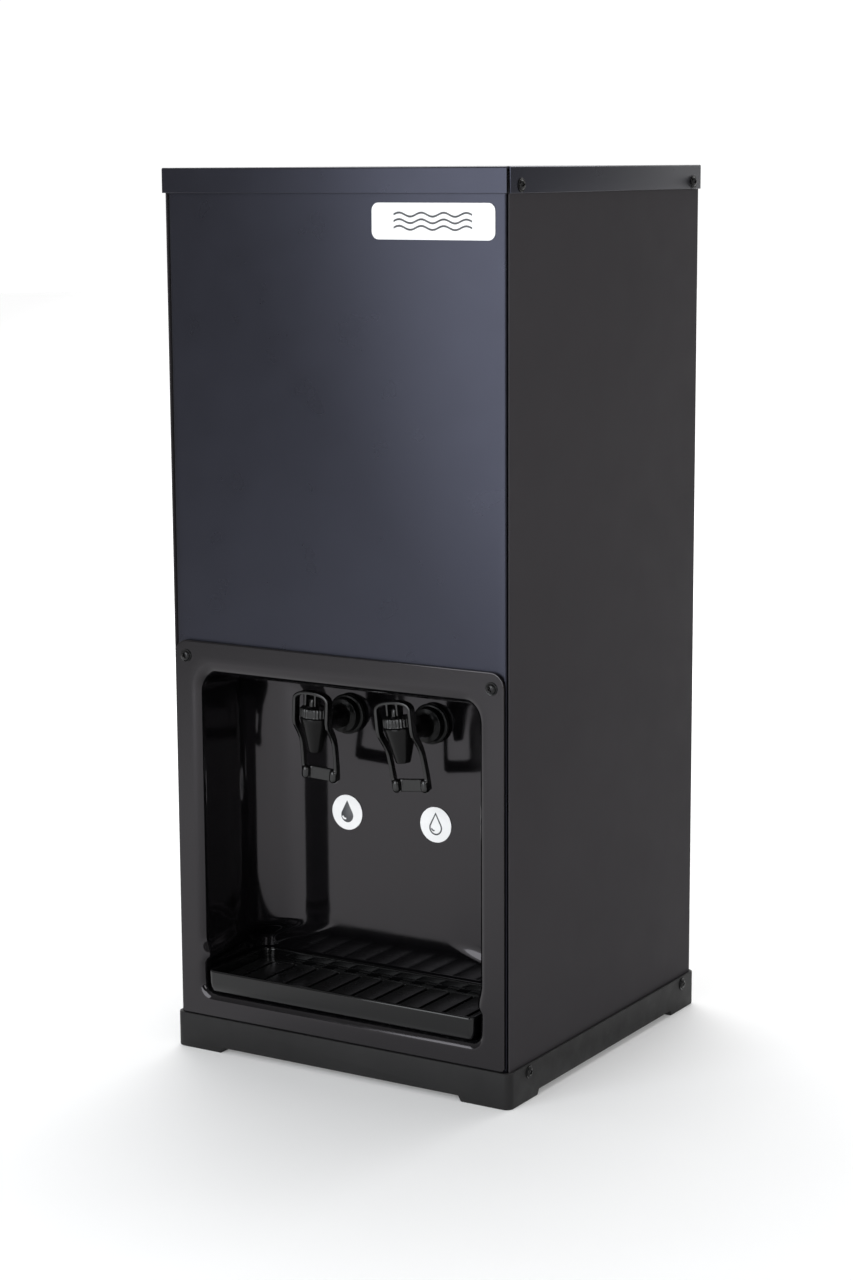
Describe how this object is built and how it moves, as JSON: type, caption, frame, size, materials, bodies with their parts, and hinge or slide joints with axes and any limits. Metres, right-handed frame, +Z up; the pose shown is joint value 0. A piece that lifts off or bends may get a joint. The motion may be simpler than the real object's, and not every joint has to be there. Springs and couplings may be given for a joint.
{
  "type": "refrigerated water dispenser",
  "caption": "Cabinet water dispenser with a moulded front niche, push-back lever taps, a lift-out drip tray and a chilled-water circuit inside.",
  "frame": {"origin": "centre of the footprint on the floor", "axes": "+Z up, front with the niche faces -Y, +X is the dispenser's own left seen from behind, right seen from the front"},
  "size_m": [0.3308, 0.3314, 0.735],
  "materials": {
    "cabinet_paint": "satin",
    "niche_plastic": "gloss",
    "tray_plastic": "satin",
    "tap_plastic": "satin",
    "base_plastic": "matte",
    "rubber": "matte",
    "black_screw": "satin",
    "zinc_steel": "satin",
    "stainless": "satin",
    "copper": "satin",
    "white_plastic": "satin",
    "label_white": "satin",
    "foam": "matte",
    "hose": "satin",
    "black_enamel": "satin"
  },
  "bodies": {
    "cabinet": {"base_tray": "base_plastic", "left_side_panel": "cabinet_paint", "right_side_panel": "cabinet_paint", "front_panel": "cabinet_paint", "rear_panel": "cabinet_paint", "top_lid": "cabinet_paint", "niche_panel": "niche_plastic", "niche_floor": "niche_plastic", "cold_tap_body": "tap_plastic", "cold_tap_bonnet": "tap_plastic", "cold_wall_gasket": "rubber", "cold_back_nut": "white_plastic", "natural_tap_body": "tap_plastic", "natural_tap_bonnet": "tap_plastic", "natural_wall_gasket": "rubber", "natural_back_nut": "white_plastic", "cold_disc": "label_white", "natural_disc": "label_white", "front_label": "label_white", "lid_screw_left_front": "black_screw", "base_screw_left_front": "black_screw", "lid_screw_left_rear": "black_screw", "base_screw_left_rear": "black_screw", "niche_screw_left": "black_screw", "lid_screw_right_front": "black_screw", "base_screw_right_front": "black_screw", "lid_screw_right_rear": "black_screw", "base_screw_right_rear": "black_screw", "niche_screw_right": "black_screw", "mid_shelf": "zinc_steel", "insulation_shell": "foam", "cold_tank": "stainless", "cold_tank_lid": "white_plastic", "evaporator_coil": "copper", "filter_cartridge": "white_plastic", "water_inlet": "white_plastic", "inlet_hose": "hose", "tank_feed_hose": "hose", "cold_hose": "hose", "natural_hose": "hose", "compressor_plate": "zinc_steel", "rubber_foot_1": "rubber", "rubber_foot_2": "rubber", "rubber_foot_3": "rubber", "rubber_foot_4": "rubber", "compressor": "black_enamel", "condenser_coil": "black_enamel", "thermostat_body": "white_plastic", "power_inlet": "base_plastic"},
    "cold_stem": {"cold_valve_stem": "tap_plastic", "cold_valve_spring": "stainless", "cold_lever_pin": "black_screw"},
    "cold_lever": {"cold_lever": "tap_plastic"},
    "natural_stem": {"natural_valve_stem": "tap_plastic", "natural_valve_spring": "stainless", "natural_lever_pin": "black_screw"},
    "natural_lever": {"natural_lever": "tap_plastic"},
    "tray": {"drip_tray": "tray_plastic"},
    "grid": {"drip_grid": "tray_plastic"},
    "dial": {"thermostat_knob": "base_plastic"}
  },
  "joints": [
    {"name": "cold_stem_lift", "type": "slide", "parent": "cabinet", "child": "cold_stem", "axis": [0.0436, 0, 0.999], "range_m": [0, 0.0016], "deforming": ["cold_valve_spring"]},
    {"name": "cold_lever_push", "type": "hinge", "parent": "cold_stem", "child": "cold_lever", "pos_m": [-0.04013, -0.134, 0.30498], "axis": [0.999, 0, -0.0436], "range_deg": [0, 14], "stiffness_Nm_per_rad": 0.3, "springref_deg": -14.32},
    {"name": "natural_stem_lift", "type": "slide", "parent": "cabinet", "child": "natural_stem", "axis": [-0.1045, 0, 0.9945], "range_m": [0, 0.0016], "deforming": ["natural_valve_spring"]},
    {"name": "natural_lever_push", "type": "hinge", "parent": "natural_stem", "child": "natural_lever", "pos_m": [0.03891, -0.134, 0.30489], "axis": [0.9945, 0, 0.1045], "range_deg": [0, 14], "stiffness_Nm_per_rad": 0.3, "springref_deg": -14.32},
    {"name": "tray_pull", "type": "slide", "parent": "cabinet", "child": "tray", "axis": [0, -1, 0], "range_m": [0, 0.082]},
    {"name": "grid_lift", "type": "slide", "parent": "tray", "child": "grid", "axis": [0, 0, 1], "range_m": [0, 0.02]},
    {"name": "dial_turn", "type": "hinge", "parent": "cabinet", "child": "dial", "pos_m": [0.06, 0.148, 0.42], "axis": [0, 1, 0], "range_deg": [-135, 135]}
  ],
  "couplings": [
    {"joint": "cold_lever_push", "follows": "cold_stem_lift", "rad_per_m": 152.6},
    {"joint": "natural_lever_push", "follows": "natural_stem_lift", "rad_per_m": 152.6}
  ]
}
